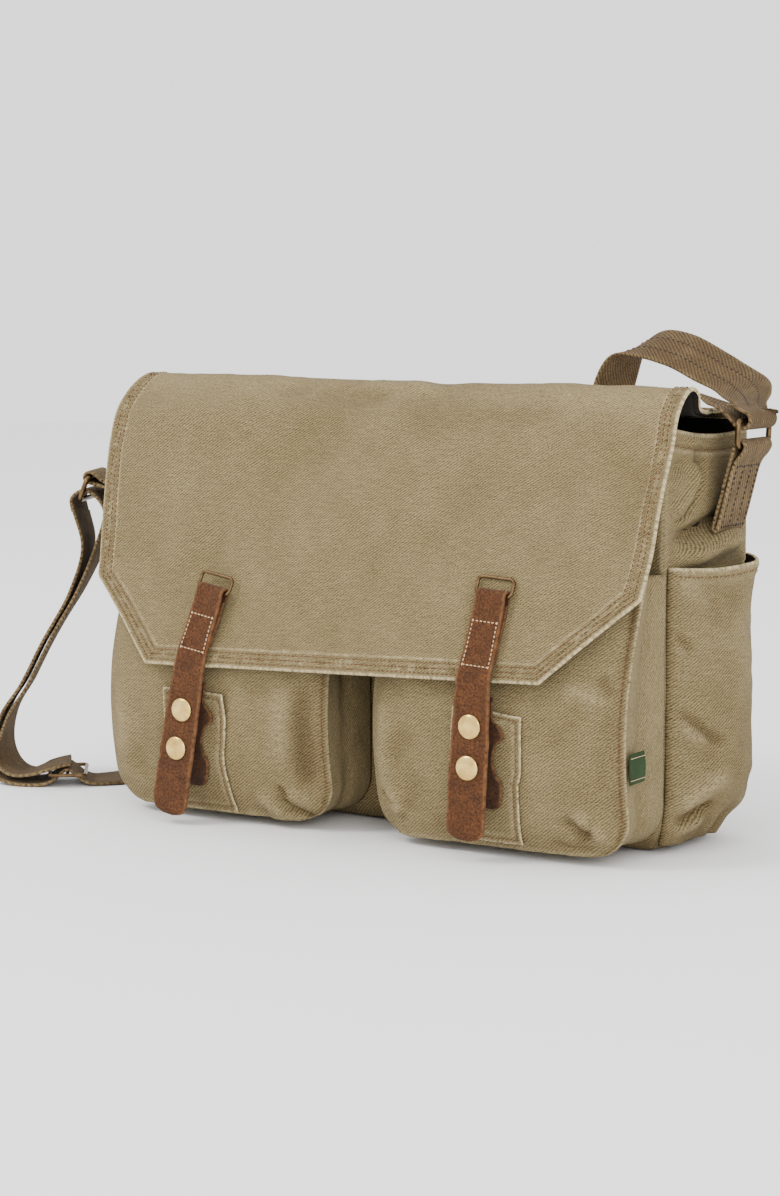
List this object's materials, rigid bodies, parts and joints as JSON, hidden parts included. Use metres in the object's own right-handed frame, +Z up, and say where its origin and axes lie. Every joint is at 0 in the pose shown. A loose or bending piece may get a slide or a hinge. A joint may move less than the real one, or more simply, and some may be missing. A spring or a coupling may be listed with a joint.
{
  "type": "messenger bag",
  "caption": "Canvas messenger bag with a folding flap, leather snap straps, bellows front pockets, side pockets and an adjustable webbing shoulder strap.",
  "frame": {"origin": "on the floor at the middle of the bag's base", "axes": "+X to the right seen from the front, -Y towards the front, +Z up"},
  "size_m": [0.5519, 0.2308, 0.3144],
  "materials": {
    "canvas": "washed cotton twill, matt",
    "lining": "plain weave lining, matt",
    "webbing": "herringbone cotton webbing, matt",
    "suede": "brushed suede, matt",
    "dark_suede": "brushed suede, matt",
    "brass": "satin, pale",
    "bronze": "aged, satin",
    "tag": "woven tape, matt"
  },
  "bodies": {
    "bag": {"back_panel": "canvas", "base_panel": "canvas", "front_panel": "canvas", "gusset_left": "canvas", "gusset_right": "canvas", "lining": "lining", "pocket_left_bellows": "canvas", "pocket_left_face": "canvas", "pocket_right_bellows": "canvas", "pocket_right_face": "canvas", "shoulder_strap": "webbing", "shoulder_strap_inner": "webbing", "side_pocket_left": "canvas", "side_pocket_right": "canvas", "side_tab_left": "webbing", "side_tab_right": "webbing", "side_tag": "tag", "snap_patch_left": "canvas", "snap_patch_right": "canvas", "snap_stud_left_lower": "brass", "snap_stud_left_upper": "brass", "snap_stud_right_lower": "brass", "snap_stud_right_upper": "brass", "strap_slider": "bronze", "stud_tab_left": "dark_suede", "stud_tab_right": "dark_suede"},
    "flap_top": {"flap_top_lining": "lining", "flap_top_panel": "canvas"},
    "flap_front": {"flap_front_lining": "lining", "flap_front_panel": "canvas", "strap_left_anchor": "suede", "strap_right_anchor": "suede"},
    "strap_left": {"snap_cap_left_lower": "brass", "snap_cap_left_upper": "brass", "snap_socket_left_lower": "brass", "snap_socket_left_upper": "brass", "strap_left_tail": "suede"},
    "strap_right": {"snap_cap_right_lower": "brass", "snap_cap_right_upper": "brass", "snap_socket_right_lower": "brass", "snap_socket_right_upper": "brass", "strap_right_tail": "suede"},
    "loop_left": {"flap_loop_left": "bronze"},
    "loop_right": {"flap_loop_right": "bronze"},
    "ring_left": {"side_ring_left": "bronze"},
    "ring_right": {"side_ring_right": "bronze"}
  },
  "joints": [
    {"name": "flap_hinge", "type": "hinge", "parent": "bag", "child": "flap_top", "pos_m": [0, 0.0615, 0.262], "axis": [-1, 0, 0], "range_deg": [0, 62]},
    {"name": "flap_fold", "type": "hinge", "parent": "flap_top", "child": "flap_front", "pos_m": [0, -0.05156, 0.26695], "axis": [-1, 0, 0], "range_deg": [0, 70]},
    {"name": "strap_left_bend", "type": "hinge", "parent": "flap_front", "child": "strap_left", "pos_m": [-0.1054, -0.1144, 0.1135], "axis": [-0.9827, 0, 0.1855], "range_deg": [0, 100]},
    {"name": "strap_right_bend", "type": "hinge", "parent": "flap_front", "child": "strap_right", "pos_m": [0.102, -0.1144, 0.1185], "axis": [-0.9981, 0, 0.0611], "range_deg": [0, 100]},
    {"name": "loop_left_swing", "type": "hinge", "parent": "flap_front", "child": "loop_left", "pos_m": [-0.099, -0.09882, 0.15032], "axis": [0.9859, -0.056, -0.1579], "range_deg": [0, 120]},
    {"name": "loop_right_swing", "type": "hinge", "parent": "flap_front", "child": "loop_right", "pos_m": [0.1045, -0.09545, 0.15982], "axis": [0.9983, -0.0197, -0.0554], "range_deg": [0, 120]},
    {"name": "ring_left_swing", "type": "hinge", "parent": "bag", "child": "ring_left", "pos_m": [-0.257, -0.018, 0.2125], "axis": [-0.3991, 0.9169, 0.0021], "range_deg": [-6, 6]},
    {"name": "ring_right_swing", "type": "hinge", "parent": "bag", "child": "ring_right", "pos_m": [0.213, 0.03, 0.246], "axis": [0, 1, 0], "range_deg": [-6, 6]}
  ]
}
